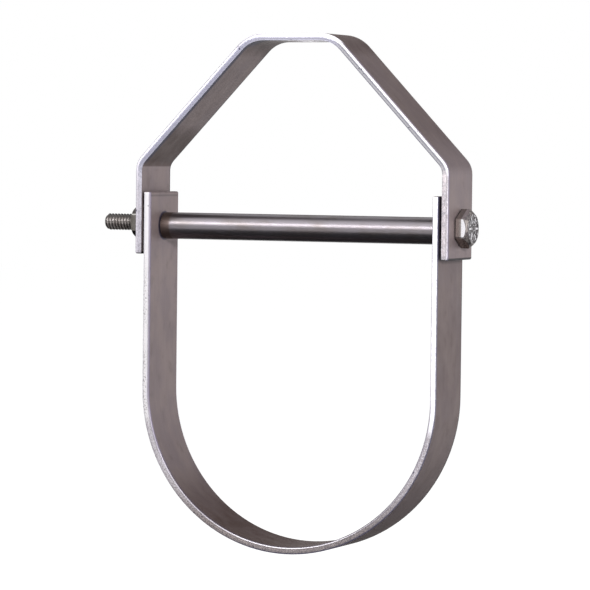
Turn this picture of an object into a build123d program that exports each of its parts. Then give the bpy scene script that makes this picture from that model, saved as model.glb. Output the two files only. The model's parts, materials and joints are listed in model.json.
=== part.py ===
from build123d import *
from math import hypot, radians, sqrt, tan
import os

# Clevis hanger for a steel pipe: a bent yoke, a U strap that hangs from it on a cross bolt,
# the bolt's nut, and a loose tube that keeps the strap's ears apart.
# Millimetres. +X runs along the bolt towards its head, Y runs along the pipe, +Z is up.
# The origin is the centre of the rod hole, on the underside of the yoke's crown.

# The pipe that the hanger carries, and the air it is given
pipe_diameter = 114.3
pipe_slack = 0.4          # between the pipe and the saddle, on the radius
pipe_headroom = 0.6       # between the pipe's top and the sleeve above it

# Strip stock that both straps are bent from
strip_width = 25.4
strip_thickness = 2.66
edge_roll = 0.8           # slitting rounds the long edges of one face
end_roll = 0.7            # and the shear rounds the same face where the strip is cut off

# Upper yoke
rod_hole_diameter = 11.1
crown_half_length = 16.5  # from the rod hole to where the crown's line meets the leg's, on the inside
crown_bend_radius = 11.5  # on the inside of each bend
shoulder_bend_radius = 5.6
bolt_drop = 69.6          # from the crown's underside to the bolt
yoke_end_distance = 12.1  # from the bolt hole to the cut end
shoulder_room = 4.5       # between the strap's swinging corners and the shoulder
ear_gap = 1.15            # between the yoke's ears and the strap's

# Lower strap
strap_end_distance = 12.3

# Cross bolt and nut, with a quarter inch thread
bolt_diameter = 6.35
bolt_hole_allowance = 0.75  # on the diameter
bolt_past_nut = 12.4
bolt_tip_chamfer = 0.9
head_across_flats = 12.7
head_height = 5.2
washer_face_height = 0.35
nut_across_flats = 11.1
nut_thickness = 5.56
hex_face_share = 0.94     # a chamfered hexagon's flat face, as a share of its width across flats
hex_chamfer_angle = 30
nut_countersink = 0.45    # at both mouths of the nut's bore
thread_clearance = 0.05   # between the bolt and the nut's bore
bearing_gap = 0.05        # left where one round face hangs on another

# Spacer sleeve, a loose tube on the bolt
sleeve_bore_allowance = 2.25  # on the diameter, over the bolt
sleeve_wall = 0.8
sleeve_end_play = 0.3     # at each end, to the strap's ears
sleeve_edge_break = 0.25

# Bolt line. The bolt lies in the bottom of the yoke's holes, and the strap and the sleeve hang on it.
bolt_z = -bolt_drop
bolt_radius = bolt_diameter / 2
bolt_hole_radius = bolt_radius + bolt_hole_allowance / 2
sleeve_bore_radius = bolt_radius + sleeve_bore_allowance / 2
sleeve_radius = sleeve_bore_radius + sleeve_wall
hole_hang = bolt_hole_radius - bolt_radius - bearing_gap
yoke_hole_z = bolt_z + hole_hang
strap_hole_z = bolt_z - hole_hang
sleeve_z = bolt_z - (sleeve_bore_radius - bolt_radius - bearing_gap)

# Saddle. The pipe lies in the U with its top just under the sleeve.
saddle_radius = pipe_diameter / 2 + pipe_slack
saddle_bottom_z = sleeve_z - sleeve_radius - pipe_headroom - pipe_diameter
saddle_z = saddle_bottom_z + saddle_radius
strap_outer_x = saddle_radius + strip_thickness
strap_top_z = strap_hole_z + strap_end_distance

# Yoke. Its ears stand outside the strap's, and its shoulders clear the strap's corners as it swings.
yoke_inner_x = strap_outer_x + ear_gap
yoke_outer_x = yoke_inner_x + strip_thickness
yoke_bottom_z = yoke_hole_z - yoke_end_distance
swing_radius = hypot(strap_end_distance, strip_width / 2)
shoulder_z = bolt_z + swing_radius + shoulder_room

os.makedirs("parts", exist_ok=True)


def strip_section(start, rounded_outside):
    """Cross section of the strip on its start plane, with the outer face away from the bend line."""
    with BuildSketch(start) as section:
        Rectangle(strip_width, strip_thickness, align=(Align.CENTER, Align.MIN))
        corner_pairs = section.vertices().group_by(Axis.Y)
        fillet(corner_pairs[-1] if rounded_outside else corner_pairs[0], edge_roll)
    return section.sketch


def hexagon_envelope(seat_x, direction, height, across_flats, chamfer_seat):
    """Turned outline that gives a hexagon its chamfers, seated at seat_x and built along direction."""
    corner_radius = across_flats / sqrt(3)
    face_radius = across_flats * hex_face_share / 2
    chamfer_height = (corner_radius - face_radius) * tan(radians(hex_chamfer_angle))
    outer_end = [(height, 0), (height, face_radius), (height - chamfer_height, corner_radius)]
    seat_end = [(0, corner_radius), (0, 0)]
    if chamfer_seat:
        seat_end = [(chamfer_height, corner_radius), (0, face_radius), (0, 0)]
    with BuildSketch(Plane((seat_x, 0, bolt_z), x_dir=(direction, 0, 0), z_dir=(0, -direction, 0))) as outline:
        with BuildLine():
            Polyline(outer_end + seat_end, close=True)
        make_face()
    return outline.sketch


# Upper yoke: one strip bent over a flat crown, with its rounded face outside and its two ears hanging down
with BuildPart() as upper_yoke:
    with BuildLine(Plane.XZ) as yoke_bend_line:
        FilletPolyline(
            (-yoke_inner_x, yoke_bottom_z),
            (-yoke_inner_x, shoulder_z),
            (-crown_half_length, 0),
            (crown_half_length, 0),
            (yoke_inner_x, shoulder_z),
            (yoke_inner_x, yoke_bottom_z),
            radius=[shoulder_bend_radius, crown_bend_radius, crown_bend_radius, shoulder_bend_radius],
        )
    yoke_start = Plane((-yoke_inner_x, 0, yoke_bottom_z), x_dir=(0, 1, 0), z_dir=(0, 0, 1))
    sweep(strip_section(yoke_start, rounded_outside=True), path=yoke_bend_line.line)
    with Locations((0, 0, strip_thickness)):
        Hole(rod_hole_diameter / 2)
    with Locations(Plane((yoke_outer_x, 0, yoke_hole_z), z_dir=(1, 0, 0))):
        Hole(bolt_hole_radius)
    yoke_cut_edges = upper_yoke.edges().filter_by(Axis.Y).group_by(Axis.Z)[0]
    fillet(yoke_cut_edges.sort_by(lambda edge: abs(edge.center().X))[2:], end_roll)
upper_yoke.part.label = "upper_yoke"
export_step(upper_yoke.part, "parts/upper_yoke.step")

# Lower strap: one strip bent to a U, with its rounded face inside, where the pipe lies
with BuildPart() as lower_strap:
    with BuildLine(Plane.XZ) as strap_bend_line:
        left_leg = Line((-saddle_radius, strap_top_z), (-saddle_radius, saddle_z))
        saddle = CenterArc((0, saddle_z), saddle_radius, 180, 180)
        right_leg = Line((saddle_radius, saddle_z), (saddle_radius, strap_top_z))
    strap_start = Plane((-saddle_radius, 0, strap_top_z), x_dir=(0, -1, 0), z_dir=(0, 0, -1))
    sweep(strip_section(strap_start, rounded_outside=False), path=strap_bend_line.line)
    with Locations(Plane((strap_outer_x, 0, strap_hole_z), z_dir=(1, 0, 0))):
        Hole(bolt_hole_radius)
    strap_cut_edges = lower_strap.edges().filter_by(Axis.Y).group_by(Axis.Z)[-1]
    fillet(strap_cut_edges.sort_by(lambda edge: abs(edge.center().X))[:2], end_roll)
lower_strap.part.label = "lower_strap"
export_step(lower_strap.part, "parts/lower_strap.step")

# Cross bolt: hexagon head on a washer face, plain shank, chamfered tip
with BuildPart() as cross_bolt:
    with BuildSketch(Plane((yoke_outer_x + washer_face_height, 0, bolt_z), x_dir=(0, 1, 0), z_dir=(1, 0, 0))):
        RegularPolygon(head_across_flats / 2, 6, major_radius=False, rotation=30)
    extrude(amount=head_height - washer_face_height)
    head_outline = hexagon_envelope(yoke_outer_x, 1, head_height, head_across_flats, False)
    revolve(head_outline, axis=Axis((0, 0, bolt_z), (1, 0, 0)), mode=Mode.INTERSECT)
    with BuildSketch(Plane((yoke_outer_x, 0, bolt_z), z_dir=(1, 0, 0))):
        Circle(head_across_flats * hex_face_share / 2)
    extrude(amount=washer_face_height)
    with BuildSketch(Plane((yoke_outer_x, 0, bolt_z), z_dir=(-1, 0, 0))):
        Circle(bolt_radius)
    extrude(amount=2 * yoke_outer_x + nut_thickness + bolt_past_nut)
    chamfer(cross_bolt.edges().sort_by(Axis.X)[0], bolt_tip_chamfer)
cross_bolt.part.label = "cross_bolt"
export_step(cross_bolt.part, "parts/cross_bolt.step")

# Hexagon nut, seated on the outside of the yoke's ear at the bolt's tip
with BuildPart() as hex_nut:
    with BuildSketch(Plane((-yoke_outer_x, 0, bolt_z), x_dir=(0, 1, 0), z_dir=(-1, 0, 0))):
        RegularPolygon(nut_across_flats / 2, 6, major_radius=False, rotation=30)
    extrude(amount=nut_thickness)
    nut_outline = hexagon_envelope(-yoke_outer_x, -1, nut_thickness, nut_across_flats, True)
    revolve(nut_outline, axis=Axis((0, 0, bolt_z), (1, 0, 0)), mode=Mode.INTERSECT)
    with Locations(Plane((-yoke_outer_x, 0, bolt_z), z_dir=(1, 0, 0))):
        Hole(bolt_radius + thread_clearance)
    bore_mouths = hex_nut.edges().filter_by(GeomType.CIRCLE).sort_by(SortBy.RADIUS)[:2]
    chamfer(bore_mouths, nut_countersink)
hex_nut.part.label = "hex_nut"
export_step(hex_nut.part, "parts/hex_nut.step")

# Spacer sleeve: a plain tube that hangs on the bolt between the strap's ears
with BuildPart() as spacer_sleeve:
    sleeve_half_length = saddle_radius - sleeve_end_play
    with BuildSketch(Plane((0, 0, sleeve_z), z_dir=(1, 0, 0))):
        Circle(sleeve_radius)
        Circle(sleeve_bore_radius, mode=Mode.SUBTRACT)
    extrude(amount=sleeve_half_length, both=True)
    rims = spacer_sleeve.edges().filter_by(GeomType.CIRCLE).sort_by(SortBy.RADIUS)[-2:]
    chamfer(rims, sleeve_edge_break)
spacer_sleeve.part.label = "spacer_sleeve"
export_step(spacer_sleeve.part, "parts/spacer_sleeve.step")
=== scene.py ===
# %% [markdown]
# # A clevis hanger: bent strip, a bolt and a tube
#
# A clevis hanger holds a pipe under a ceiling. An upper yoke hangs from a threaded rod, a U strap
# hangs from the yoke on a cross bolt, and a tube on the bolt keeps the strap's ears apart.
#
# The five pieces already exist as solids at their real size. This lesson adds what a solid has
# not got: sheared edges, rolling grain, stains in the bends, a bright drawn tube, and a bolt and
# nut with a true thread. All lengths are in metres.

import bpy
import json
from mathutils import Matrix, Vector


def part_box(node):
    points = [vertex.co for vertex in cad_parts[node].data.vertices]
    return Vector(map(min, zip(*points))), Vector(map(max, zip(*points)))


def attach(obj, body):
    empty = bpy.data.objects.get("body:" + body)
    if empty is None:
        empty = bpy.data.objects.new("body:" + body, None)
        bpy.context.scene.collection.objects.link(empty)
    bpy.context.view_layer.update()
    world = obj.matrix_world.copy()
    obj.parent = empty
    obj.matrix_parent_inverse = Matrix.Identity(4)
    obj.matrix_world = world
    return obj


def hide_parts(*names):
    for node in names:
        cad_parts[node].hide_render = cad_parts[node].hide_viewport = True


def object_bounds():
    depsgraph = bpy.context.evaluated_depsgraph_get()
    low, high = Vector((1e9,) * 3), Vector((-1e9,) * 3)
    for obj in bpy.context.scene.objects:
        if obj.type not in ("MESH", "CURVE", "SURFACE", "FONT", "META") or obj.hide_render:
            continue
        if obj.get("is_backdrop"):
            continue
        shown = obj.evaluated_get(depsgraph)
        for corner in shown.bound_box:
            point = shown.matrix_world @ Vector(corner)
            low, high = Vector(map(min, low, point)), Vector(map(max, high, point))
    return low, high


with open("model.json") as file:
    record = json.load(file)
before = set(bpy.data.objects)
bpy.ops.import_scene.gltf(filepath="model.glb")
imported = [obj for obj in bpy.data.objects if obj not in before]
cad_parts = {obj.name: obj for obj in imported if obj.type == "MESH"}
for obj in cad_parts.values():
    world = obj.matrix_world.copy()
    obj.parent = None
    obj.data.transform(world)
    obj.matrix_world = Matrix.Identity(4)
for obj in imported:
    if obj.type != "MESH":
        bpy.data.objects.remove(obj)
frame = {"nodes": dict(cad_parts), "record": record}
solid_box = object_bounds()

# %% Tools and units
import json
from math import atan2, cos, degrees, hypot, pi, radians, sin, tan

import bmesh
import bpy
from mathutils import Matrix, Vector

mm = 0.001
whole_turn = 2 * pi
scene = bpy.context.scene
print("Blender", bpy.app.version_string, "- one millimetre is", mm)

# %% [markdown]
# ## Sizes that the solids already know
#
# Nothing is measured twice. The boxes of the solids and the record of the part give the strip's
# width and thickness, the bolt's line, and, in millimetres, the radius and height of the saddle
# that the pipe lies in. The pitch of the thread is hidden in the record too: the nut travels by
# one pitch for each turn of the bolt.

# %% Sizes from the solids and the record
record = frame["record"]
mounts = {mount["name"]: mount for mount in record["mounts"]}
joints = {joint["name"]: joint for joint in record["behaviour"]["joints"]}

yoke_low, yoke_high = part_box("upper_yoke")
strap_low, strap_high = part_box("lower_strap")
bolt_low, bolt_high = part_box("cross_bolt")
nut_low, nut_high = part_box("hex_nut")
sleeve_low, sleeve_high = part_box("spacer_sleeve")

strip_half_width = yoke_high.y
strip_thickness = yoke_high.z
yoke_inner_x = yoke_high.x - strip_thickness
saddle_radius = mounts["pipe_saddle"]["dims"]["r_mm"]
saddle_centre = mounts["pipe_saddle"]["pos_m"][2] / mm
bolt_z = joints["bolt_turn"]["pos_m"][2]
thread_pitch = record["behaviour"]["couplings"][0]["ratio"] * whole_turn
print(f"strip {2 * strip_half_width / mm:.1f} x {strip_thickness / mm:.2f} mm")
print(f"saddle's radius {saddle_radius:.2f} mm, thread pitch {thread_pitch / mm:.3f} mm")

# %% [markdown]
# ## The camera
#
# The picture was taken with a long lens from a little over a metre away, a little above the
# bolt, and from the side of the bolt's head. The camera was not quite level, so it also rolls by
# less than a degree. A rotation that looks along one direction comes from `to_track_quat`, and a
# turn about the camera's own Z axis adds the roll. The lamps are placed in the same way later.

# %% Camera
def put(name, data):
    """A new object at the origin, linked to the scene."""
    thing = bpy.data.objects.new(name, data)
    scene.collection.objects.link(thing)
    return thing


def direction_at(azimuth, elevation):
    """The direction from the object to a place, with both angles in degrees."""
    azimuth, elevation = radians(azimuth), radians(elevation)
    return Vector((sin(azimuth) * cos(elevation), -cos(azimuth) * cos(elevation), sin(elevation)))


def facing(direction):
    """The rotation of a camera or a lamp that looks back from that direction."""
    return direction.to_track_quat("Z", "Y").to_matrix()


camera_back = direction_at(23.28, 2.30)
camera_roll = radians(0.66)
camera_distance = 1.3640
camera_aim = Vector((-2.14 * mm, -0.97 * mm, -96.01 * mm))

camera_data = bpy.data.cameras.new("camera")
camera_data.sensor_width = 36
camera_data.lens = 219.66
camera_data.clip_start = 0.01
camera_data.clip_end = 50
camera = put("camera", camera_data)
camera_turn = facing(camera_back) @ Matrix.Rotation(camera_roll, 3, "Z")
camera_place = Matrix.Translation(camera_aim + camera_back * camera_distance)
camera.matrix_world = camera_place @ camera_turn.to_4x4()
scene.camera = camera
scene.view_settings.view_transform = "Standard"
print(f"camera {camera_distance:.2f} m away, {camera_data.lens:.0f} mm lens")

# %% [markdown]
# ## Node trees as plain sums
#
# Materials and geometry are both made of nodes. Wiring them by hand hides the idea, so a small
# class wraps one socket, and each sum on it adds a Math node. The reflected forms, such as
# `__rsub__`, make `1 - mask` work too. Every other node comes from one function, which takes the
# node's type, its settings and the values or links of its sockets.

# %% A socket that can be added and multiplied
def add_node(tree, kind, settings=None, inputs=None, output=0):
    """Adds a node, sets it up, feeds its sockets and returns the output that is asked for."""
    node = tree.nodes.new(kind)
    for key, value in (settings or {}).items():
        setattr(node, key, value)
    for key, value in (inputs or {}).items():
        if isinstance(value, Socket):
            tree.links.new(value.socket, node.inputs[key])
        else:
            node.inputs[key].default_value = value
    return Socket(node.outputs[output]) if len(node.outputs) else node


def bare_tree(owner):
    """The node tree of a material or a world, emptied."""
    owner.use_nodes = True
    owner.node_tree.nodes.clear()
    return owner.node_tree


class Socket:
    """One output of a node. A sum on it adds the Math node that works the sum out."""

    def __init__(self, socket):
        self.socket = socket
        self.tree = socket.id_data

    def node(self, kind, settings=None, inputs=None, output=0):
        return add_node(self.tree, kind, settings, inputs, output)

    def math(self, operation, *values):
        return self.node("ShaderNodeMath", {"operation": operation}, dict(enumerate(values)))

    def __add__(self, other):
        return self.math("ADD", self, other)

    def __sub__(self, other):
        return self.math("SUBTRACT", self, other)

    def __mul__(self, other):
        return self.math("MULTIPLY", self, other)

    def __truediv__(self, other):
        return self.math("DIVIDE", self, other)

    def __rsub__(self, other):
        return self.math("SUBTRACT", other, self)

    __radd__ = __add__
    __rmul__ = __mul__

    def least(self, other):
        return self.math("MINIMUM", self, other)

    def most(self, other):
        return self.math("MAXIMUM", self, other)

    def size(self):
        return self.math("ABSOLUTE", self)

    def power(self, exponent):
        return self.math("POWER", self, exponent)

    def axes(self):
        """The x, y and z of a vector."""
        return [self.node("ShaderNodeSeparateXYZ", None, {0: self}, axis) for axis in range(3)]

    def step(self, start, end):
        """Rises smoothly from 0 at start to 1 at end. With end below start it falls."""
        limits = {"Value": self, "From Min": start, "From Max": end}
        return self.node("ShaderNodeMapRange", {"interpolation_type": "SMOOTHSTEP"}, limits)

    def near(self, place, far, close):
        """1 within the close distance of a place, and 0 beyond the far one."""
        return (self - place).size().step(far, close)

    def share(self, start, end):
        """Rises evenly from 0 at start to 1 at end, and stays within those two."""
        limits = {"Value": self, "From Min": start, "From Max": end}
        return self.node("ShaderNodeMapRange", {"clamp": True}, limits)


def vector(tree, x, y, z):
    """A vector made of three numbers or sockets."""
    return add_node(tree, "ShaderNodeCombineXYZ", None, {0: x, 1: y, 2: z})


def blend(factor, first, second):
    """The first colour where the factor is 0, the second where it is 1."""
    return factor.node("ShaderNodeMix", {"data_type": "RGBA"}, {0: factor, 6: first, 7: second}, 2)


def shade(red, green, blue):
    """A colour as it is seen, from 0 to 255, turned into the even scale that nodes work in."""
    even = [((part / 255 + 0.055) / 1.055) ** 2.4 for part in (red, green, blue)]
    return (*even, 1.0)


print("a middle grey is seen as 128, and is", round(shade(128, 128, 128)[0], 3), "in nodes")


# %% [markdown]
# ## The studio
#
# The hanger hangs, so the floor lies well below it. The backdrop is plain white. A white backdrop
# made with more light would wash the metal out, so the world and the floor look white only to
# the camera and to reflections, through the Light Path node, and light the object at a plain
# level. Close to the hanger the floor adds less glow of its own, which keeps a soft shadow there.

# %% World and floor
fill_level = 0.31
floor_z = strap_low.z - 0.12
floor_half_size = 6.0
floor_grey = (0.8, 0.8, 0.8, 1)
pure_white = (1, 1, 1, 1)
near_glow = 0.30
far_glow = 0.75
near_radius = 0.35
far_radius = 1.1


def seen_directly(tree):
    """1 for rays from the camera, a reflection or through glass, 0 for light that is passed on."""
    kinds = ("Is Camera Ray", "Is Glossy Ray", "Is Transmission Ray")
    camera_ray, glossy_ray, glass_ray = [
        add_node(tree, "ShaderNodeLightPath", output=kind) for kind in kinds
    ]
    return camera_ray.most(glossy_ray).most(glass_ray)


def white_world():
    world = bpy.data.worlds.new("white_backdrop")
    tree = bare_tree(world)
    fill = add_node(tree, "ShaderNodeBackground", inputs={"Color": pure_white, "Strength": fill_level})
    white = add_node(tree, "ShaderNodeBackground", inputs={"Color": pure_white, "Strength": 1.0})
    mixed = add_node(tree, "ShaderNodeMixShader", inputs={0: seen_directly(tree), 1: fill, 2: white})
    add_node(tree, "ShaderNodeOutputWorld", inputs={"Surface": mixed})
    return world


def floor_finish():
    material = bpy.data.materials.new("pale_floor")
    tree = bare_tree(material)
    place = add_node(tree, "ShaderNodeTexCoord", output="Object")
    distance = place.node("ShaderNodeVectorMath", {"operation": "LENGTH"}, {0: place}, "Value")
    paint = add_node(tree, "ShaderNodeBsdfDiffuse", inputs={"Color": floor_grey})
    near = add_node(tree, "ShaderNodeEmission", inputs={"Color": pure_white, "Strength": near_glow})
    far = add_node(tree, "ShaderNodeEmission", inputs={"Color": pure_white, "Strength": far_glow})
    reach = distance.step(near_radius, far_radius)
    glow = add_node(tree, "ShaderNodeMixShader", inputs={0: reach, 1: near, 2: far})
    bright = add_node(tree, "ShaderNodeAddShader", inputs={0: paint, 1: glow})
    mixed = add_node(tree, "ShaderNodeMixShader", inputs={0: seen_directly(tree), 1: paint, 2: bright})
    add_node(tree, "ShaderNodeOutputMaterial", inputs={"Surface": mixed})
    return material


def level_sheet(name, centre, half_x, half_y, material):
    """A level rectangle about a centre, given by its two half sides."""
    x, y, z = centre
    signs = ((-1, -1), (1, -1), (1, 1), (-1, 1))
    corners = [(x + across * half_x, y + along * half_y, z) for across, along in signs]
    mesh = bpy.data.meshes.new(name)
    mesh.from_pydata(corners, [], [(0, 1, 2, 3)])
    mesh.materials.append(material)
    sheet = put(name, mesh)
    sheet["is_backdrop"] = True
    return sheet


scene.world = white_world()
level_sheet("floor", (0, 0, floor_z), floor_half_size, floor_half_size, floor_finish())
print(f"floor {(strap_low.z - floor_z) / mm:.0f} mm under the strap")

# %% [markdown]
# ## Three soft lamps, and two dark cards
#
# Bare metal has hardly any colour of its own: it shows what stands around it. In an all white
# room a tube looks flat. So a long low lamp stands to the left of the camera and draws a single
# bright band along the tube, and a weaker one above it fills the tube's upper flank. A small lamp
# to the right lights the outer faces at the bolt's head and gives the tube's shadow on the ear
# behind it. Two dark cards that only reflections can see, one under the hanger and one behind and
# above it, give the tube its dark borders, as cards do on a photographer's table.

# %% Lamps and cards
lamp_distance = 1.15
tube_middle = (sleeve_low + sleeve_high) / 2
card_grey = (0.06, 0.06, 0.065, 1)

# name: azimuth and elevation in degrees, width, height, power
soft_lamps = {
    "band_lamp": (-27, 25, 1.3, 0.22, 8.8),
    "side_lamp": (42, 13, 0.14, 0.14, 11.5),
    "upper_lamp": (-27, 50, 1.3, 0.5, 2.2),
}
# name: centre, half its length along x, half its depth along y
dark_cards = {
    "card_below": ((0, -0.14, floor_z + 0.01), 0.6, 0.46),
    "card_above": ((0, 1.15, 0.30), 1.2, 0.60),
}


def soft_lamp(name, azimuth, elevation, width, height, power):
    """A rectangular lamp at the lamp distance, turned towards the middle of the tube."""
    data = bpy.data.lights.new(name, "AREA")
    data.shape = "RECTANGLE"
    data.size = width
    data.size_y = height
    data.energy = power
    direction = direction_at(azimuth, elevation)
    place = Matrix.Translation(tube_middle + direction * lamp_distance)
    put(name, data).matrix_world = place @ facing(direction).to_4x4()


def card_finish():
    material = bpy.data.materials.new("dark_card")
    tree = bare_tree(material)
    paint = add_node(tree, "ShaderNodeBsdfDiffuse", inputs={"Color": card_grey})
    add_node(tree, "ShaderNodeOutputMaterial", inputs={"Surface": paint})
    return material


def dark_card(name, centre, half_length, half_depth, material):
    """A card that only reflections see, so it neither shows nor casts a shadow."""
    card = level_sheet(name, centre, half_length, half_depth, material)
    card.visible_camera = False
    card.visible_diffuse = False
    card.visible_transmission = False
    card.visible_shadow = False


dark_card_finish = card_finish()
for name, lamp_values in soft_lamps.items():
    soft_lamp(name, *lamp_values)
for name, card_values in dark_cards.items():
    dark_card(name, *card_values, dark_card_finish)
print(f"{len(soft_lamps)} lamps at {lamp_distance:.2f} m, {len(dark_cards)} dark cards")

# %% [markdown]
# ## Patterns on steel
#
# All the finishes read the piece's own Object coordinates, so a pattern stays on the metal when
# the piece moves. Three patterns serve every piece: clouds, for stains in the plating; grain,
# for the fine speckle of a matt surface; and streaks, which are clouds pulled out along one
# direction, as rolling and drawing leave them. All three are the same noise with another
# stretch, so one small class holds the noise, the dents and the closing of a material.

# %% Shared patterns
class Finish:
    """A material under construction, with the piece's own place in millimetres as x, y and z."""

    def __init__(self, name):
        self.material = bpy.data.materials.new(name)
        self.tree = bare_tree(self.material)
        place = add_node(self.tree, "ShaderNodeTexCoord", output="Object")
        self.x, self.y, self.z = [value * (1 / mm) for value in place.axes()]

    def noise(self, stretch, detail=2.0, roughness=0.5, shift=0.0):
        """Clouds between 0 and 1. The stretch is how many fit in a millimetre along x, y and z."""
        along_x, along_y, along_z = stretch
        place = vector(self.tree, self.x * along_x + shift, self.y * along_y, self.z * along_z)
        inputs = {"Vector": place, "Scale": 1.0, "Detail": detail, "Roughness": roughness}
        return add_node(self.tree, "ShaderNodeTexNoise", {"noise_dimensions": "3D"}, inputs)

    def reach_from(self, axis_height):
        """How far a point is from a line along x at that height."""
        rise = self.z - axis_height
        return (self.y * self.y + rise * rise).power(0.5)

    def bump(self, height, depth, normal=None):
        """Dents and rises in the surface: a height from 0 to 1, and its depth in metres."""
        inputs = {"Height": height, "Distance": depth}
        if normal:
            inputs["Normal"] = normal
        return add_node(self.tree, "ShaderNodeBump", None, inputs)

    def round_bar(self, axis_height, share):
        """The surface's own direction, leant by that share towards a plain round bar's along x."""
        rise = self.z - axis_height
        reach = self.reach_from(axis_height).most(0.001)
        outward = vector(self.tree, 0.5, self.y / reach * 0.5 + 0.5, rise / reach * 0.5 + 0.5)
        inputs = {"Strength": share, "Color": outward}
        return add_node(self.tree, "ShaderNodeNormalMap", {"space": "OBJECT"}, inputs)

    def steel(self, colour, roughness, normal, metallic):
        """Closes the material as metal with that colour, roughness and surface."""
        inputs = {"Base Color": colour, "Roughness": roughness, "Normal": normal, "Metallic": metallic}
        surface = add_node(self.tree, "ShaderNodeBsdfPrincipled", None, inputs)
        add_node(self.tree, "ShaderNodeOutputMaterial", None, {"Surface": surface})
        print(f"{self.material.name}: {len(self.tree.nodes)} nodes")
        return self.material


# %% [markdown]
# ## Strip steel
#
# Both straps are bent from strip that was rolled, slit to width and plated. Rolling leaves fine
# streaks along the strip, and because the strip bends only about the pipe's direction, the
# streaks are clouds that change fast along Y and slowly along X and Z, whichever way the strip
# runs.
#
# The long edges are sheared. Seen from the side they have four zones: a rounded roll where the
# blade went in, a bright burnished band, a duller torn band, and a thin dark line at the burr.
# To lay those zones along a bent strip, the finish needs to know how deep in the thickness a
# point lies. On the U strap that is its distance from the saddle's centre. On the yoke it is the
# distance from a plane where the strip is straight, and from the bend's own centre in a bend.
# The sizes of the bends are in millimetres here, like x, y and z.

# %% Depth inside each strip
crown_half_length = 16.5
crown_bend_radius = 11.5
shoulder_bend_radius = 5.6
shoulder_z = -47.42
leg_run = yoke_inner_x / mm - crown_half_length
leg_length = hypot(leg_run, shoulder_z)
leg_slope = (-shoulder_z / leg_length, leg_run / leg_length)
leg_angle = atan2(-shoulder_z, leg_run)
print(f"the yoke's legs slope by {degrees(leg_angle):.1f} degrees")


def round_bend(first, second, turn, radius):
    """The distance from two planes that meet in a bend of that turn and inner radius."""
    arms = []
    for near, far in ((first + radius, second + radius), (second + radius, first + radius)):
        beyond = (far - near * cos(turn)) * (1 / sin(turn))
        beyond = beyond.most(0.0)
        arms.append((near * near + beyond * beyond).power(0.5))
    return arms[0].least(arms[1]) - radius


def yoke_depth(finish):
    """0 at the yoke's inner face and 1 at its outer face, all along the bent strip."""
    side = finish.x.size()
    leg = (side - crown_half_length) * leg_slope[0] + finish.z * leg_slope[1]
    ear = side - yoke_inner_x / mm
    crown_corner = round_bend(finish.z, leg, leg_angle, crown_bend_radius)
    shoulder_corner = round_bend(leg, ear, pi / 2 - leg_angle, shoulder_bend_radius)
    return crown_corner.most(shoulder_corner) * (mm / strip_thickness)


def strap_depth(finish):
    """0 at the strap's inner face and 1 at its outer face, down both legs and round the U."""
    below = (finish.z - saddle_centre).least(0.0)
    reach = (finish.x * finish.x + below * below).power(0.5)
    return (reach - saddle_radius) * (mm / strip_thickness)


# %% [markdown]
# The colours are those of old zinc plate in daylight: a warm grey with a hint of purple, browner
# and darker where the strip was bent, and a pale, slightly blue tone on the sheared edges. The
# marks are placed by heights that come from the solids, also in millimetres.

# %% Colours and places on the strips
face_warm = shade(137, 123, 123)
face_cool = shade(128, 115, 118)
face_stain = shade(106, 94, 92)
bend_brown = shade(66, 47, 43)
edge_white = shade(246, 244, 250)
edge_pale = shade(206, 202, 214)
edge_torn = shade(132, 124, 128)
edge_dark = shade(42, 40, 66)
edge_soft = shade(214, 210, 222)
edge_low = shade(64, 55, 55)
edge_brown = shade(114, 102, 100)
edge_ash = shade(170, 166, 172)
edge_mist = shade(132, 131, 146)
edge_stone = shade(142, 141, 145)
edge_ear = shade(150, 145, 148)
edge_leg = shade(199, 196, 199)
edge_rose = shade(212, 202, 206)
edge_crown = shade(158, 156, 170)
groove_grey = shade(98, 96, 108)
roll_line_tone = shade(112, 107, 117)
roll_tint = shade(124, 118, 138)
roll_dark = shade(62, 52, 66)
burr_and_shade_dark = shade(42, 37, 41)

half_width = strip_half_width / mm
yoke_foot = yoke_low.z / mm
strap_top = strap_high.z / mm
strap_foot = strap_low.z / mm
tube_axis = (sleeve_low.z + sleeve_high.z) / 2 / mm
print(f"yoke's foot {-yoke_foot:.1f} mm and saddle's centre {-saddle_centre:.1f} mm below the rod hole")

# %% [markdown]
# Bending cracks the plate, which turns it brown. So each strip has a function that says, from 0
# to 1, how much a point is bent, where `inside` is 1 on the half towards the inner face. On the
# inner face above the yoke's shoulders that brown is partly painted shade, as the face turns down
# away from the light. A second function marks the ends that the shear cut, on the yoke with a
# line that is partly painted shade.

# %% Bends and cut ends
def yoke_bend_marks(finish, inside):
    """Dark on the yoke's bends, most of all inside, partly painted shade above the shoulders, and fainter
    all along its sloping legs.
    """
    crown = finish.x.size().near(crown_half_length, 13.0, 1.0) * finish.z.step(-14.0, -4.0)
    crown_outside = finish.z.step(-12.0, -1.0) * (1 - inside) * finish.x.size().step(6.0, 17.0) * 0.85
    above_ear = finish.z.step(shoulder_z - 0.9, shoulder_z - 0.3)
    # partly painted shade: the inner face above each shoulder turns down away from the light
    shoulder = finish.z.near(shoulder_z + 6.0, 14.0, 4.0) * above_ear
    leg = finish.z.step(shoulder_z, shoulder_z + 16.0) * (0.50 - inside * 0.06)
    return (crown * (0.66 + inside * 0.16)).most(crown_outside).most(shoulder * inside).most(leg)


def strap_bend_marks(finish, inside):
    """Darker inside the lower half of the U, and a little darker all along the outside."""
    lower = finish.z.step(saddle_centre - 22.0, strap_foot + 8.0) * inside
    leg = finish.z.step(-92.0, -112.0) * 0.14
    return lower.most(leg + (1 - inside) * 0.40)


def yoke_foot_burr_and_shade(finish):
    """1 on a dark line at the foot of each ear: the shear's burr, with painted shade along the edge."""
    # burr and painted shade: a dark band just above the bottom end of each ear
    return finish.z.step(yoke_foot + 1.0, yoke_foot + 0.7)


def strap_end_mark(finish):
    """Faintly 1 under the sheared tops of the strap's ears."""
    return finish.z.near(strap_top - 1.5, 0.5, 0.2) * 0.35
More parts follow.
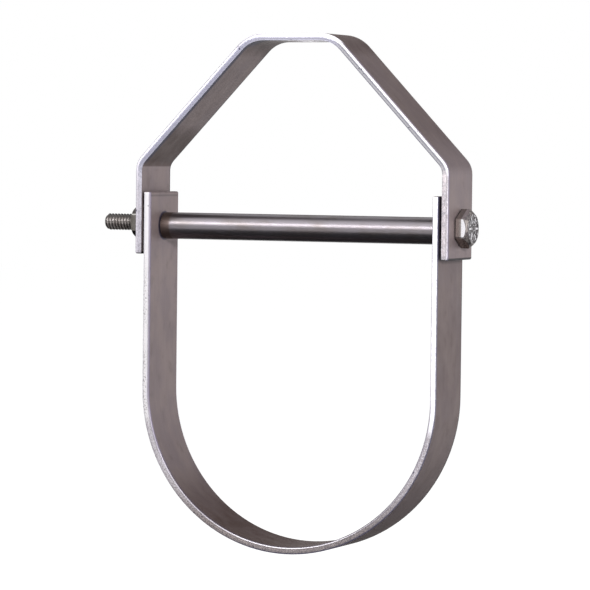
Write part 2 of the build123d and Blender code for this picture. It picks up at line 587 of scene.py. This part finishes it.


# %% [markdown]
# The edges differ from place to place, so each strip says what its zones look like. `burnished`
# is the bright band, and `torn_dark` and `torn_light` are the two tones of the torn one. The
# others are amounts: how much the edge has lost its shine and takes painted shade, how strong
# the lines at the burr and at the roll are, how much wider the bright band is, and how calm the
# torn band's surface is. On the strap the painted shade darkens the edges round the bottom of
# the U, where they catch less light.
#
# A shallow groove follows the yoke's crown and two seams its leg at the head's side. On the strap
# the edge is pitted at the nut's side, and the yoke's ear keeps the light off it in the gap.

# %% Tones of the sheared edges
def dull_and_shade_tone(finish):
    """The tone of an edge that has lost its shine, with painted shade that darkens it towards the bottom
    of the U.
    """
    # painted shade: darker towards the bottom of the U, where the edge catches less light
    lower = finish.z.step(saddle_centre - 28.0, strap_foot + 8.0)
    grit = finish.noise((1.8, 0.7, 1.8), 3.0, 0.6, 17.0)
    speckled = (grit - finish.x.step(-30.0, 50.0) * 0.08).step(0.38, 0.56)
    light = blend(finish.x.step(-10.0, -40.0), edge_soft, edge_ash)
    light = blend(finish.x.step(20.0, 40.0) * 0.75, light, edge_ash)
    return blend(lower, blend(speckled, edge_torn, light), blend(speckled, edge_low, edge_brown))


def yoke_edge_tones(finish, from_roll):
    """White and neutral grey on the leg at the head's side, bluish on the other, softer on the ears."""
    left = finish.x.step(-8.0, -20.0)
    right = finish.x.step(14.0, 22.0)
    crown = (1 - left) * (1 - right)
    on_ear = finish.z.step(shoulder_z + 2.0, shoulder_z - 4.0)
    on_leg = right * (1 - on_ear)
    left_bend = finish.x.near(-16.0, 9.0, 4.0) * finish.z.step(-9.0, -4.0)
    groove = from_roll.near(0.80, 0.13, 0.04) * crown * 0.5
    seams = (from_roll.near(0.56, 0.10, 0.04) * 0.75).most(from_roll.step(0.84, 0.92)) * on_leg
    torn = blend(crown, blend(right, edge_mist, edge_stone), edge_crown)
    torn = blend(groove.most(seams), torn, groove_grey)
    return {
        "burnished": blend(on_ear * (1 - left * 0.75), blend(left, edge_white, edge_soft), edge_ear),
        "torn_dark": torn,
        "torn_light": blend(on_ear * (1 - left * 0.45), torn, blend(right, edge_pale, edge_rose)),
        "dull_and_shade": finish.z.step(-44.0, -60.0) * 0.6,
        "burr_line": right * on_ear * 0.1,
        "roll_line": (on_leg * 0.4).most(left_bend * 0.8),
        "wider_white": crown * 0.14,
        "calm": on_leg * 0.75,
    }


def in_gap(finish):
    """1 on the strap where the yoke's ear at the head's side stands close beside it."""
    return finish.x.step(50.0, 55.0) * finish.z.step(yoke_foot - 1.0, yoke_foot + 1.0)


def strap_edge_tones(finish, from_roll):
    """Nearly white, greyer and pitted at the nut's side, with a dark burr towards the head's side."""
    left = finish.x.step(-10.0, -40.0)
    in_saddle = finish.z.step(saddle_centre + 2.0, saddle_centre - 8.0)
    left_line = finish.x.step(-14.0, -34.0)
    left_line = left_line * (0.47 + finish.z.step(saddle_centre - 30.0, saddle_centre - 18.0) * 0.53)
    right_line = finish.x.step(10.0, 40.0) * in_saddle * 0.8
    shaded = in_gap(finish) * from_roll.step(0.82, 0.92) * 0.9
    pits = finish.noise((1.5, 0.7, 1.5), 3.0, 0.65, 29.0).step(0.53, 0.63) * left
    pitted = pits * (finish.z.step(-116.0, -122.0) * 0.8).most(finish.z.near(-98.0, 14.0, 6.0) * 0.55)

    def torn(tone):
        return blend(pitted, blend(shaded, blend(left, tone, edge_leg), edge_dark), edge_low)

    return {
        "burnished": blend(left, edge_white, edge_leg),
        "torn_dark": torn(edge_soft),
        "torn_light": torn(edge_white),
        # painted shade on the edge below the saddle's centre
        "dull_and_shade": finish.z.step(saddle_centre - 9.0, saddle_centre - 15.0) * 0.9,
        "burr_line": 0.25 + finish.x.step(-40.0, -10.0) * 0.62,
        "roll_line": left_line.most(right_line),
        "wider_white": 0.0,
        "calm": 0.0,
    }


# %% [markdown]
# The marks on the faces are pairs of a place, from 0 to 1, and the colour it takes. With them each
# strip gives the share of tint on its rolled borders. The yoke has a painted highlight round its
# crown and painted shade under the crown's left bend. The strap has painted shade in a ring where
# each of the tube's ends touches it, and where the yoke's ear stands beside it.

# %% Marks on the faces
def yoke_face_marks(finish, depth, on_roll):
    """Painted highlight round the crown, painted shade under its left bend, and a dark line down the front
    of the left leg's inner face.
    """
    inner = depth.step(0.5, 0.3)
    left = finish.x.step(-3.0, -7.0)
    on_legs = finish.z.step(shoulder_z - 1.0, shoulder_z + 3.0)
    # painted highlight on the crown's underside at the left and on its rolled top border
    under_crown = finish.z.step(-1.2, -0.4) * inner * finish.y.step(12.0, 2.0) * finish.x.step(-8.0, -3.0)
    over_crown = finish.z.step(-2.0, 0.5) * on_roll
    pale = under_crown.most(over_crown) * 0.9
    front = finish.y.step(-half_width + 3.2, -half_width + 1.8)
    # painted shade under the crown's left bend
    crown_bend = left * finish.z.step(-3.2, -1.2) * finish.y.step(-3.0, -9.0)
    dark = (front * left * on_legs).most(crown_bend) * inner * 0.92
    roll_share = 0.7 - finish.x.step(14.0, 22.0) * on_legs * 0.35
    return [(pale, edge_white), (dark, edge_dark)], roll_share


def strap_face_marks(finish, depth, on_roll):
    """A ring of painted shade round each end of the tube, and painted shade beside the yoke's ear."""
    # painted shade: a dark ring where the tube's end touches the ear's inner face
    tube_end_shade = finish.reach_from(tube_axis).step(5.9, 5.3) * depth.step(0.5, 0.3) * 0.8
    # painted shade on the outer face where the yoke's ear stands beside it
    gap_shade = in_gap(finish) * depth.step(0.6, 0.8) * 0.7
    return [(tube_end_shade.most(gap_shade), edge_dark)], 0.7


# %% [markdown]
# Both strips use the same two recipes, one for the faces and one for the sheared edges, and pass
# in their own functions. The zones of an edge never run quite straight, so a ragged noise is
# added to the depth that places them.

# %% Finish of a strip
def strip_face(finish, bent, cut_end, patches, streaks):
    """The colour of the faces: stained plate, brown where it is bent, dark at the cut end, partly as
    painted shade.
    """
    clouds = finish.noise((0.055, 0.09, 0.055), 4.0, 0.6, 3.0)
    face = blend(clouds.step(0.38, 0.62), face_warm, face_cool)
    face = blend(patches.step(0.56, 0.74) * 0.35, face, face_stain)
    face = blend(bent * (0.66 + patches * 0.5), face, bend_brown)
    face = blend(streaks.step(0.35, 0.8) * 0.16, face, face_stain)
    return blend(cut_end, face, burr_and_shade_dark)


def strip_edge(finish, from_roll, ragged, mottle, tones):
    """The colour of a sheared edge, zone by zone from its roll to its burr."""
    torn = blend(mottle.step(0.34, 0.60), tones["torn_dark"], tones["torn_light"])
    burnished = blend(mottle.step(0.60, 0.40) * 0.6, tones["burnished"], edge_pale)
    edge = blend((from_roll + ragged - tones["wider_white"]).step(0.34, 0.46), burnished, torn)
    nearly_straight = from_roll + ragged * 0.3
    edge = blend(tones["dull_and_shade"] * nearly_straight.step(0.14, 0.24), edge, dull_and_shade_tone(finish))
    edge = blend(nearly_straight.step(0.76, 0.90) * tones["burr_line"], edge, edge_dark)
    at_roll = (from_roll + ragged * 0.2).step(0.38, 0.14)
    return blend(at_roll * tones["roll_line"], edge, roll_line_tone)


def strip_finish(name, depth_of, bend_marks, end_mark, edge_tones, face_marks, rolled_outside):
    """Plated strip steel, with the rounded edges on its outer or its inner face."""
    finish = Finish(name)
    depth = depth_of(finish)
    from_roll = 1 - depth if rolled_outside else depth
    patches = finish.noise((0.16, 0.22, 0.16), 3.0, 0.55, 11.0)
    streaks = finish.noise((0.03, 2.6, 0.03), 3.0, 0.6)
    grain = finish.noise((2.2, 2.2, 2.2), 2.0, 0.6)
    ragged = (finish.noise((0.9, 0.4, 0.9), 4.0, 0.65, 5.0) - 0.5) * 0.24
    mottle = finish.noise((0.45, 0.2, 0.45), 4.0, 0.7, 9.0)
    nicks = finish.noise((0.5, 0.5, 0.5), 2.0, 0.5, 21.0).step(0.70, 0.76)

    tones = edge_tones(finish, from_roll)
    edge = strip_edge(finish, from_roll, ragged, mottle, tones)
    edge = blend(nicks * 0.8, edge, edge_dark)

    bent = bend_marks(finish, depth.step(0.7, 0.3))
    face = strip_face(finish, bent, end_mark(finish), patches, streaks)
    on_roll = finish.y.size().step(half_width - 1.0, half_width - 0.6) * from_roll.step(0.35, 0.15)
    marks, roll_share = face_marks(finish, depth, on_roll)
    in_saddle = finish.z.step(saddle_centre - 20.0, saddle_centre - 40.0)
    face = blend(on_roll * roll_share, face, blend(in_saddle, roll_tint, roll_dark))
    # painted shade: a dark line along each face's back border, where the rounded edge turns from the light
    back_edge_shade = finish.y.step(half_width - 0.8, half_width - 0.4) * 0.75
    face = blend(back_edge_shade, face, burr_and_shade_dark)
    for place, colour in marks:
        face = blend(place, face, colour)

    on_edge = finish.y.size().step(half_width - 0.30, half_width - 0.05)
    rough_torn = on_edge * (from_roll + ragged).step(0.40, 0.60) * (1 - tones["calm"])
    height = streaks * 0.24 + grain * 0.06 + rough_torn * mottle * 1.6 - nicks * on_edge * 2.0
    roughness = 0.42 + streaks * 0.12 + patches * 0.08 - on_edge * 0.08
    return finish.steel(blend(on_edge, face, edge), roughness, finish.bump(height, 0.06 * mm), 0.5)


yoke_steel = strip_finish(
    "yoke_steel", yoke_depth, yoke_bend_marks, yoke_foot_burr_and_shade, yoke_edge_tones, yoke_face_marks,
    rolled_outside=True)
strap_steel = strip_finish(
    "strap_steel", strap_depth, strap_bend_marks, strap_end_mark, strap_edge_tones, strap_face_marks,
    rolled_outside=False)
frame["nodes"]["upper_yoke"].material_slots[0].material = yoke_steel
frame["nodes"]["lower_strap"].material_slots[0].material = strap_steel

# %% [markdown]
# ## The drawn tube
#
# The spacer sleeve is cut from drawn tube, much smoother than the strip. Drawing leaves fine
# lines along its length, so its streaks change slowly along X. Its low roughness is what turns
# the long lamp into one crisp band.

# %% Finish of the sleeve
tube_grey = shade(124, 119, 124)
tube_brown = shade(110, 103, 101)
tube_cut = shade(176, 172, 176)
tube_ear_reflection = shade(92, 78, 70)


def tube_finish():
    """Drawn steel, paler at its cut ends, painted brown near one end as a reflection of the ear."""
    finish = Finish("tube_steel")
    lines = finish.noise((0.012, 1.8, 1.8), 3.0, 0.6)
    clouds = finish.noise((0.07, 0.2, 0.2), 4.0, 0.6, 7.0)
    colour = blend(clouds.step(0.40, 0.66) * 0.7, tube_grey, tube_brown)
    at_cut = finish.x.size().step(sleeve_high.x / mm - 0.5, sleeve_high.x / mm - 0.1)
    colour = blend(at_cut * 0.7, colour, tube_cut)
    # painted reflection: the tube is painted brown near its end at the nut's side, as if it mirrored the
    # strap's ear
    ear_reflection = finish.x.step(sleeve_low.x / mm + 4.4, sleeve_low.x / mm + 3.4)
    colour = blend(ear_reflection * 0.8, colour, tube_ear_reflection)
    grain = finish.noise((1.1, 1.6, 1.6), 2.0, 0.6, 5.0)
    roughness = 0.27 + lines * 0.05 + clouds * 0.05 + ear_reflection * 0.12
    return finish.steel(colour, roughness, finish.bump(lines + grain * 0.9, 0.01 * mm), 1.0)


frame["nodes"]["spacer_sleeve"].material_slots[0].material = tube_finish()
print(f"tube {(sleeve_high.x - sleeve_low.x) / mm:.1f} mm long")

# %% [markdown]
# ## Bolt and nut steel
#
# Bolts are forged, rolled and plated in a barrel, where they knock against each other, and clouds
# of small knocks roughen the plate. The thread is painted darker towards its roots and on its
# upper side: that is painted shade. The head carries painted highlights and painted shade too.
#
# The crests of a used thread are worn a little round, so together they catch a lamp much as a
# plain bar does. A Normal Map node leans the surface's own direction towards that of such a bar.
# It takes the direction written as a colour, and a strength, which is 0 away from the thread.

# %% Sizes and colours of the bolt and the nut
bolt_radius = 3.175
thread_depth = 0.6134 * thread_pitch / mm
thread_length = 19.05
head_across_flats = 12.7
head_face_radius = 0.88 * head_across_flats / 2
head_lean = tan(radians(45))
washer_face_height = 0.35
bars_reach = 4.8
tip_x = bolt_low.x / mm
head_top_x = bolt_high.x / mm
head_seat_x = yoke_high.x / mm
bolt_axis = bolt_z / mm

plate_highlight = shade(238, 236, 240)
plate_light = shade(172, 167, 166)
plate_worn = shade(118, 110, 106)
thread_root = shade(50, 44, 42)
face_grey = shade(100, 94, 96)
soot_and_shade = shade(58, 54, 56)
head_grey = shade(154, 147, 143)
head_low_shade = shade(148, 136, 128)
nut_light = shade(106, 102, 98)
nut_worn = shade(88, 84, 79)
nut_corner_highlight = shade(206, 204, 200)
nut_shade = shade(56, 50, 48)
print(f"bolt {head_top_x - tip_x:.1f} mm over all, thread {thread_length:.2f} mm long")

# %% Finish of the bolt
def fastener_noise(finish):
    """Clouds in the plate and small knocks, as a barrel leaves them."""
    clouds = finish.noise((0.35, 0.35, 0.35), 4.0, 0.65)
    knocks = finish.noise((2.4, 2.4, 2.4), 3.0, 0.7, 4.0)
    return clouds, knocks


def head_sides(finish, rise, knocks):
    """The head's flats: a painted highlight by the top, and painted shade low down and at the seat."""
    seat = head_seat_x + washer_face_height
    # painted highlight on the flats towards the head's top
    side = blend(finish.x.step(head_top_x - 2.65, head_top_x - 2.45), head_grey, plate_highlight)
    # painted shade on the lowest flats
    side = blend(rise.step(-3.2, -3.5), side, head_low_shade)
    # painted shade along the corner where the lowest flats begin
    side = blend(rise.near(-3.3, 0.42, 0.2) * 0.8, side, soot_and_shade)
    # less painted highlight on the upper flats
    side = blend(rise.step(3.3, 3.6) * 0.5, side, head_grey)
    side = blend(knocks.step(0.60, 0.76) * 0.35, side, plate_worn)
    # painted contact shadow at the seat
    return blend(finish.x.step(seat + 0.3, seat + 0.1), side, soot_and_shade)


def bolt_finish():
    """Worn shank, thread with painted shade in its roots and on top, head with painted highlights and a
    speckled top.
    """
    finish = Finish("bolt_steel")
    clouds, knocks = fastener_noise(finish)
    scale = finish.noise((1.0, 1.0, 1.0), 3.0, 0.65, 13.0)
    reach = finish.reach_from(bolt_axis)
    rise = finish.z - bolt_axis

    before_shank = finish.x.step(tip_x + thread_length + 0.5, tip_x + thread_length)
    on_thread = finish.x.step(tip_x + 0.5, tip_x + 1.1) * before_shank
    # painted shade in the thread's roots
    in_root = reach.step(bolt_radius - 0.05, bolt_radius - 0.55) * before_shank
    # painted shade on the thread's upper side
    upper_shade = on_thread * rise.step(0.9, 2.2) * 0.85
    colour = blend(clouds.step(0.36, 0.66), plate_light, plate_worn)
    colour = blend(on_thread * 0.5, colour, plate_worn)
    colour = blend((in_root * 0.75).most(upper_shade), colour, thread_root)

    on_head = finish.x.step(head_seat_x, head_seat_x + 0.4)
    on_top = finish.x.step(head_top_x - 0.25, head_top_x - 0.15)
    on_face = on_top * reach.step(head_face_radius, head_face_radius - 0.2)
    on_bar = finish.x.step(head_top_x - 0.07, head_top_x - 0.02) * reach.step(bars_reach + 0.1, bars_reach)
    # painted glints: bright specks on the head's top, among dark specks of scale
    face = blend(scale.step(0.55, 0.61), face_grey, plate_highlight)
    face = blend(scale.step(0.54, 0.46), face, soot_and_shade)
    colour = blend(on_head, colour, head_sides(finish, rise, knocks))
    # painted highlight on the raised bars
    colour = blend(on_face, colour, blend(on_bar, face, plate_highlight))

    from_cone = (finish.x - head_top_x) + (reach - head_face_radius) * head_lean
    on_chamfer = from_cone.step(-0.12, -0.06) * reach.step(head_face_radius - 0.2, head_face_radius)
    colour = blend(on_chamfer, colour, blend(scale.step(0.45, 0.60), face_grey, head_grey))

    roughness = 0.30 + clouds * 0.14 - on_head * 0.22 + on_face * 0.20 + on_chamfer * 0.36
    roughness = roughness - on_thread * 0.15
    height = knocks * (0.6 - on_head * 0.45) + clouds * (0.3 - on_head * 0.2) + on_face * scale * 1.5
    bumped = finish.bump(height, 0.05 * mm, finish.round_bar(bolt_axis, on_thread * 0.66))
    return finish.steel(colour, roughness, bumped, 0.95 - on_thread * 0.4)


bolt_steel = bolt_finish()

# %% Finish of the nut
def nut_finish():
    """Duller plate, with painted shade on the slanted flats and in the bore, and a painted highlight along
    one corner.
    """
    finish = Finish("nut_steel")
    clouds, knocks = fastener_noise(finish)
    rise = finish.z - bolt_axis
    slanted = rise.size().step(3.0, 3.4)
    inside = finish.reach_from(bolt_axis).step(bolt_radius + 0.6, bolt_radius + 0.1)
    colour = blend(clouds.step(0.36, 0.66), nut_light, nut_worn)
    # painted shade on the slanted flats and in the bore
    colour = blend(slanted.most(inside) * 0.85, colour, nut_shade)
    # painted highlight along the upper corner of the front flat
    colour = blend(rise.near(3.05, 0.35, 0.15) * 0.8, colour, nut_corner_highlight)
    bumped = finish.bump(knocks * 0.5 + clouds * 0.3, 0.05 * mm)
    return finish.steel(colour, 0.26 + clouds * 0.12, bumped, 0.95)


nut_steel = nut_finish()

# %% [markdown]
# ## A thread from a flat grid
#
# A thread is a rule: the radius rises and falls with the distance along the bolt and with the
# angle round it. Geometry Nodes can follow that rule directly. A flat grid is rolled into a
# cylinder, and each of its points is pushed in by the depth that the thread has there. The sum
# `length / pitch - angle / one turn` counts the turns, and its fraction says where in one tooth a
# point lies. A right-hand thread has the minus sign.
#
# The same tree makes the bore of the nut. There the rule is the bolt's own surface, moved out by
# a little clearance, so that nut and bolt mesh in every position.

# %% Geometry Nodes helpers
def new_tree(name, sizes):
    """An empty tree of geometry nodes, with a named input for each size, and its group input."""
    tree = bpy.data.node_groups.new(name, "GeometryNodeTree")
    kinds = {float: "NodeSocketFloat", int: "NodeSocketInt", "material": "NodeSocketMaterial"}
    for label, kind in sizes.items():
        tree.interface.new_socket(name=label, in_out="INPUT", socket_type=kinds[kind])
    tree.interface.new_socket(name="Geometry", in_out="OUTPUT", socket_type="NodeSocketGeometry")
    group = tree.nodes.new("NodeGroupInput")
    return tree, {label: Socket(group.outputs[label]) for label in sizes}


def end_tree(tree, mesh, material):
    """Closes a tree with real geometry, its material set."""
    real = add_node(tree, "GeometryNodeRealizeInstances", None, {0: mesh})
    painted = add_node(tree, "GeometryNodeSetMaterial", None, {"Geometry": real, "Material": material})
    tree.links.new(painted.socket, tree.nodes.new("NodeGroupOutput").inputs["Geometry"])


def grow(name, tree, values):
    """Runs a tree with those values on its named inputs and returns the plain mesh that it makes."""
    carrier = put(name, bpy.data.meshes.new(name))
    modifier = carrier.modifiers.new("grow", "NODES")
    modifier.node_group = tree
    for item in tree.interface.items_tree:
        if item.in_out == "INPUT":
            modifier[item.identifier] = values[item.name]
    grown = carrier.evaluated_get(bpy.context.evaluated_depsgraph_get())
    mesh = bpy.data.meshes.new_from_object(grown)
    carrier.modifiers.remove(modifier)
    bpy.data.objects.remove(carrier)
    print(f"{name}: {len(mesh.polygons)} faces grown")
    return mesh


# %% The thread's rule
thread_sizes = {
    "Start": float, "Length": float, "Pitch": float, "Crest Radius": float, "Thread Depth": float,
    "End Radius": float, "Fade Length": float, "Least Radius": float, "Axis Height": float,
    "Rows": int, "Columns": int, "Material": "material",
}
crest_flat = 1 / 8
root_flat = 1 / 4


def thread_tree(name, outside):
    """A threaded skin along +X: a bolt with a chamfered tip at its start, or a nut's bore."""
    tree, size = new_tree(name, thread_sizes)
    grid = add_node(tree, "GeometryNodeMeshGrid", None, {
        "Size X": size["Length"], "Size Y": 1.0,
        "Vertices X": size["Rows"] + 1, "Vertices Y": size["Columns"] + 1,
    })
    flat = add_node(tree, "GeometryNodeInputPosition")
    flat_x, turn = flat.axes()[:2]
    travel = flat_x + size["Length"] * 0.5
    along = travel + size["Start"]
    turns = along / size["Pitch"] - turn
    tooth = turns.math("FRACT", turns)
    slope = (tooth * 2.0 - 1.0).size()
    height = slope.share(root_flat, 1 - crest_flat)
    groove = (1 - height) * size["Thread Depth"]
    to_end = size["Length"] - travel
    if outside:
        fade = (to_end / size["Fade Length"]).least(1.0)
        radius = (size["Crest Radius"] - groove * fade).least(size["End Radius"] + travel)
    else:
        radius = (size["Crest Radius"] - groove).most(size["Least Radius"])
        radius = radius.most(size["End Radius"] - travel.least(to_end))
    angle = turn * whole_turn
    across = radius * angle.math("COSINE", angle)
    upward = radius * angle.math("SINE", angle) + size["Axis Height"]
    rolled = vector(tree, along, across, upward)
    placed = add_node(tree, "GeometryNodeSetPosition", None, {"Geometry": grid, "Position": rolled})
    end_tree(tree, placed, size["Material"])
    return tree


# %% [markdown]
# ## Turned and hexagonal skins
#
# The rest of the bolt and the nut is a stack of rings. A ring has one point for each column of
# the thread's grid, so that all the skins meet point to point. For a round ring the radius is
# constant. For a hexagon it follows the flats, and a chamfer leans each point back by how far it
# stands outside the flat face's circle. That gives the curved arcs that a real chamfered
# hexagon has.

# %% Rings and skins
columns = 72
weld_distance = 0.002 * mm
sharp_angle = radians(32)
half_side = radians(30)


def round_ring(x, radius):
    return [(x, radius)] * columns


def hexagon_ring(x, across_flats):
    """A ring on the sides of a hexagon, with a corner at the top."""
    ring = []
    for column in range(columns):
        angle = (whole_turn * column / columns + half_side) % (2 * half_side) - half_side
        ring.append((x, across_flats / 2 / cos(angle)))
    return ring


def chamfered(ring, face_radius, direction, lean):
    """Leans a hexagon's end ring back along the chamfer's cone."""
    return [(x - direction * (radius - face_radius) * lean, radius) for x, radius in ring]


def ring_points(shell, ring):
    """Adds a ring's points to a mesh, round the bolt's axis."""
    points = []
    for column, (x, radius) in enumerate(ring):
        angle = whole_turn * column / columns
        place = (x * mm, radius * cos(angle) * mm, radius * sin(angle) * mm + bolt_z)
        points.append(shell.verts.new(place))
    return points


def skin(rings, closed_end=False):
    """A mesh through a list of rings, which are given in millimetres."""
    shell = bmesh.new()
    rows = [ring_points(shell, ring) for ring in rings]
    for first, second in zip(rows, rows[1:]):
        for column in range(columns):
            after = (column + 1) % columns
            shell.faces.new((first[column], first[after], second[after], second[column]))
    if closed_end:
        shell.faces.new(rows[-1])
    return shell


def weld(name, shell, grown_meshes, material):
    """Joins a skin and grown meshes into one closed object, with sharp corners kept sharp."""
    for mesh in grown_meshes:
        shell.from_mesh(mesh)
    bmesh.ops.remove_doubles(shell, verts=shell.verts, dist=weld_distance)
    bmesh.ops.recalc_face_normals(shell, faces=shell.faces)
    for face in shell.faces:
        face.smooth = True
        face.material_index = 0
    for edge in shell.edges:
        edge.smooth = edge.is_manifold and edge.calc_face_angle(pi) < sharp_angle
    open_edges = sum(not edge.is_manifold for edge in shell.edges)
    mesh = bpy.data.meshes.new(name)
    shell.to_mesh(mesh)
    shell.free()
    mesh.materials.clear()
    mesh.materials.append(material)
    piece = put(name, mesh)
    print(f"{name}: {len(mesh.polygons)} faces, {open_edges} open edges")
    return piece


# %% [markdown]
# ## The cross bolt
#
# From tip to head: a chamfered tip, three quarters of an inch of thread that fades into the
# shank, the plain shank, a thin washer face, and the hexagon head with its chamfer. The top of
# the head is a little hollow, as forging leaves it, and carries plain raised bars.

# %% Bolt body
face_share = 0.94
washer_radius = face_share * head_across_flats / 2
tip_radius = bolt_radius - 0.9
crest_radius = bolt_radius - 0.01
rows_per_pitch = 24
face_hollow = 0.12

bolt_thread = grow("bolt_thread", thread_tree("outside_thread", outside=True), {
    "Start": tip_x * mm, "Length": thread_length * mm, "Pitch": thread_pitch,
    "Crest Radius": crest_radius * mm, "Thread Depth": thread_depth * mm,
    "End Radius": tip_radius * mm, "Fade Length": 1.5 * thread_pitch, "Least Radius": 0.0,
    "Rows": round(thread_length * mm / thread_pitch * rows_per_pitch), "Columns": columns,
    "Axis Height": bolt_z, "Material": bolt_steel,
})
head_side = hexagon_ring(head_seat_x + washer_face_height, head_across_flats)
head_end = chamfered(hexagon_ring(head_top_x, head_across_flats), head_face_radius, 1, head_lean)
shank_rings = [
    round_ring(tip_x + thread_length, crest_radius),
    round_ring(head_seat_x - 0.3, crest_radius),
    round_ring(head_seat_x, crest_radius + 0.25),
    round_ring(head_seat_x, washer_radius - 0.1),
    round_ring(head_seat_x + 0.1, washer_radius),
    round_ring(head_seat_x + washer_face_height, washer_radius),
    head_side,
    head_end,
    round_ring(head_top_x, head_face_radius),
    round_ring(head_top_x, head_face_radius - 0.5),
    round_ring(head_top_x - face_hollow, head_face_radius - 0.9),
]
bolt_shell = skin(shank_rings, closed_end=True)
bolt_shell.faces.new(ring_points(bolt_shell, round_ring(tip_x, tip_radius)))

# %% [markdown]
# The bars on the head are one bar, repeated at even angles. In Geometry Nodes that is a circle
# with few points, and an instance of the bar on each, turned to point away from the axis. The
# same tree can give any number of bars.

# %% Bars on the head
bar_sizes = {
    "Count": int, "Ring Radius": float, "Bar Length": float, "Bar Width": float, "Bar Height": float,
    "Place": float, "Axis Height": float, "Material": "material",
}


def bar_tree(name):
    """Raised bars that point away from the bolt's axis, on a plane across it."""
    tree, size = new_tree(name, bar_sizes)
    circle = add_node(tree, "GeometryNodeMeshCircle", None, {
        "Vertices": size["Count"], "Radius": size["Ring Radius"],
    })
    lengths = vector(tree, size["Bar Length"], size["Bar Width"], size["Bar Height"])
    bar = add_node(tree, "GeometryNodeMeshCube", None, {"Size": lengths})
    around = add_node(tree, "GeometryNodeInputPosition")
    axes = {"axis": "X", "pivot_axis": "Z"}
    outward = add_node(tree, "FunctionNodeAlignRotationToVector", axes, {"Vector": around})
    bars = add_node(tree, "GeometryNodeInstanceOnPoints", None, {
        "Points": circle, "Instance": bar, "Rotation": outward,
    })
    real = add_node(tree, "GeometryNodeRealizeInstances", None, {0: bars})
    flat = add_node(tree, "GeometryNodeInputPosition")
    flat_x, flat_y, flat_z = flat.axes()
    upright = vector(tree, flat_z + size["Place"], flat_x, flat_y + size["Axis Height"])
    placed = add_node(tree, "GeometryNodeSetPosition", None, {"Geometry": real, "Position": upright})
    end_tree(tree, placed, size["Material"])
    return tree


bar_ring_radius = 3.4
bar_length = 2.2
bar_width = 0.55
bar_height = 0.3
head_bars = grow("head_bars", bar_tree("raised_bars"), {
    "Count": 6, "Ring Radius": bar_ring_radius * mm,
    "Bar Length": bar_length * mm, "Bar Width": bar_width * mm, "Bar Height": bar_height * mm,
    "Place": (head_top_x - bar_height / 2) * mm, "Axis Height": bolt_z, "Material": bolt_steel,
})
bolt = weld("machine_bolt", bolt_shell, [bolt_thread, head_bars], bolt_steel)
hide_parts("cross_bolt")
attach(bolt, "bolt")

# %% [markdown]
# ## The nut
#
# A plain hexagon nut is chamfered on both ends, and its bore is countersunk at both mouths. Its
# skin starts at one mouth, goes round the outside to the other mouth, and the threaded bore
# closes it into a ring.

# %% Nut
nut_across_flats = 11.1
nut_face_radius = face_share * nut_across_flats / 2
nut_lean = tan(radians(30))
nut_outer_x = nut_low.x / mm
nut_seat_x = nut_high.x / mm
nut_thickness = nut_seat_x - nut_outer_x
mouth_radius = 3.675
least_radius = 2.72
thread_play = 0.06

bore = grow("nut_bore", thread_tree("inside_thread", outside=False), {
    "Start": nut_outer_x * mm, "Length": nut_thickness * mm, "Pitch": thread_pitch,
    "Crest Radius": (crest_radius + thread_play) * mm, "Thread Depth": thread_depth * mm,
    "End Radius": mouth_radius * mm, "Fade Length": thread_pitch, "Least Radius": least_radius * mm,
    "Rows": round(nut_thickness * mm / thread_pitch * rows_per_pitch), "Columns": columns,
    "Axis Height": bolt_z, "Material": nut_steel,
})
nut_rings = [
    round_ring(nut_outer_x, mouth_radius),
    round_ring(nut_outer_x, nut_face_radius),
    chamfered(hexagon_ring(nut_outer_x, nut_across_flats), nut_face_radius, -1, nut_lean),
    chamfered(hexagon_ring(nut_seat_x, nut_across_flats), nut_face_radius, 1, nut_lean),
    round_ring(nut_seat_x, nut_face_radius),
    round_ring(nut_seat_x, mouth_radius),
]
nut = weld("machine_nut", skin(nut_rings), [bore], nut_steel)
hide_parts("hex_nut")
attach(nut, "nut")

# %% [markdown]
# ## Last step
#
# The looks must not change the size of the part. The box of the solids and the box of the
# dressed model are written side by side, so that they can be compared.

# %% Compare the two boxes and finish
dressed_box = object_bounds()
boxes = {
    "solids": [list(corner) for corner in solid_box],
    "dressed": [list(corner) for corner in dressed_box],
}
for name, corners in boxes.items():
    print(name, [[round(value, 5) for value in corner] for corner in corners])
